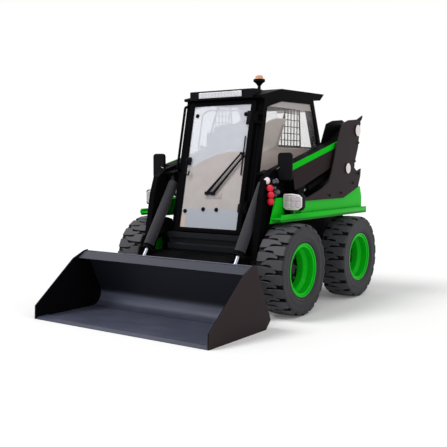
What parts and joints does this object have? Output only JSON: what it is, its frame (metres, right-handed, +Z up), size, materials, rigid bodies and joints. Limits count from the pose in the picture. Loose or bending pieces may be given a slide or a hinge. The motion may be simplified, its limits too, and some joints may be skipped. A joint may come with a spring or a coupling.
{
  "type": "skid steer loader",
  "caption": "Compact electric wheeled skid steer loader with a glazed cab, rear-pivot lift arms and a low-profile bucket.",
  "frame": {"origin": "on the ground, at the middle of the machine's length and width", "axes": "+Y to the tail, +X to the machine's left side, +Z up; the bucket is at -Y"},
  "size_m": [1.76, 2.9, 2.08],
  "materials": {
    "green_paint": "gloss bright green enamel",
    "black_paint": "satin black enamel",
    "tower_paint": "satin dark brown-grey enamel",
    "bucket_paint": "satin dark grey enamel, lightly scuffed",
    "rod_chrome": "polished hard chrome",
    "sleeve": "woven hose sleeve over the barrel",
    "tyre": "moulded rubber",
    "glass": "clear safety glass",
    "black_plastic": "moulded black plastic",
    "lamp_lens": "clear lens over white diodes",
    "tail_lens": "red lens",
    "amber_lens": "amber lens",
    "coupler_red": "red dust caps",
    "seat_cover": "grey vinyl",
    "battery_case": "plain case"
  },
  "bodies": {
    "chassis": {"lower_frame": "black_paint", "battery_pack": "battery_case", "axle_housings": "black_paint", "side_frames": "green_paint", "towers": "tower_paint", "rear_hood": "black_paint", "rear_frame": "black_paint", "cab_sides": "black_paint", "cab_rear": "black_paint", "cab_glass": "glass", "cab_roof": "black_paint", "cab_floor": "black_paint", "front_panel": "black_paint", "side_guards": "black_paint", "seat_base": "black_plastic", "seat": "seat_cover", "consoles": "black_plastic", "light_bar": "black_plastic", "beacon": "amber_lens", "handrail": "black_paint", "headlamps": "lamp_lens", "tail_lamps": "tail_lens", "tie_downs": "black_paint"},
    "door": {"door_frame": "black_paint", "door_glass": "glass", "wiper": "black_plastic", "door_handle": "black_plastic"},
    "tail_door": {"rear_door": "black_paint"},
    "boom": {"boom_arms": "black_paint", "boom_cross": "black_paint", "couplers": "coupler_red", "mirrors": "black_plastic"},
    "lift_barrels": {"lift_barrels": "black_paint"},
    "lift_rods": {"lift_rods": "rod_chrome"},
    "bucket": {"bucket_shell": "bucket_paint", "bucket_cheeks": "tower_paint", "cutting_edge": "bucket_paint", "quick_coupler": "bucket_paint"},
    "tilt_barrels": {"tilt_barrels": "black_paint"},
    "tilt_rods": {"tilt_rods": "rod_chrome"},
    "wheel_front_left": {"rim_front_left": "green_paint", "tyre_front_left": "tyre"},
    "wheel_front_right": {"rim_front_right": "green_paint", "tyre_front_right": "tyre"},
    "wheel_rear_left": {"rim_rear_left": "green_paint", "tyre_rear_left": "tyre"},
    "wheel_rear_right": {"rim_rear_right": "green_paint", "tyre_rear_right": "tyre"}
  },
  "joints": [
    {"name": "boom_lift", "type": "hinge", "parent": "chassis", "child": "boom", "pos_m": [0, 1.22, 1.598], "axis": [-1, 0, 0], "range_deg": [0, 75]},
    {"name": "lift_barrel_swing", "type": "hinge", "parent": "chassis", "child": "lift_barrels", "pos_m": [0, 1.01, 1.23], "axis": [-1, 0, 0], "range_deg": [0, 77.89]},
    {"name": "lift_rod_slide", "type": "slide", "parent": "lift_barrels", "child": "lift_rods", "axis": [0, -0.9641, -0.2656], "range_m": [0, 0.5135]},
    {"name": "bucket_tilt", "type": "hinge", "parent": "boom", "child": "bucket", "pos_m": [0, -0.585, 0.15], "axis": [1, 0, 0], "range_deg": [-25, 115]},
    {"name": "tilt_barrel_swing", "type": "hinge", "parent": "boom", "child": "tilt_barrels", "pos_m": [0, -0.092, 1.131], "axis": [-1, 0, 0], "range_deg": [-2.35, 0.55]},
    {"name": "tilt_rod_slide", "type": "slide", "parent": "tilt_barrels", "child": "tilt_rods", "axis": [0, -0.5494, -0.8355], "range_m": [-0.0498, 0.2273]},
    {"name": "door_swing", "type": "hinge", "parent": "chassis", "child": "door", "pos_m": [0.378, -0.40767, 0.00125], "axis": [0, 0.2086, 0.978], "range_deg": [0, 85]},
    {"name": "tail_door_swing", "type": "hinge", "parent": "chassis", "child": "tail_door", "pos_m": [-0.48, 1.437, 0.7], "axis": [0, 0, 1], "range_deg": [0, 110]},
    {"name": "spin_front_left", "type": "hinge", "parent": "chassis", "child": "wheel_front_left", "pos_m": [0.752, -0.087, 0.3865], "axis": [1, 0, 0], "continuous": true},
    {"name": "spin_front_right", "type": "hinge", "parent": "chassis", "child": "wheel_front_right", "pos_m": [-0.752, -0.087, 0.3865], "axis": [1, 0, 0], "continuous": true},
    {"name": "spin_rear_left", "type": "hinge", "parent": "chassis", "child": "wheel_rear_left", "pos_m": [0.752, 1.037, 0.3865], "axis": [1, 0, 0], "continuous": true},
    {"name": "spin_rear_right", "type": "hinge", "parent": "chassis", "child": "wheel_rear_right", "pos_m": [-0.752, 1.037, 0.3865], "axis": [1, 0, 0], "continuous": true}
  ],
  "couplings": [
    {"joint": "lift_barrel_swing", "follows": "boom_lift", "ratio": 1.0379},
    {"joint": "lift_rod_slide", "follows": "boom_lift", "m_per_rad": 0.39192},
    {"joint": "tilt_barrel_swing", "follows": "bucket_tilt", "ratio": -0.02},
    {"joint": "tilt_rod_slide", "follows": "bucket_tilt", "m_per_rad": 0.113}
  ]
}
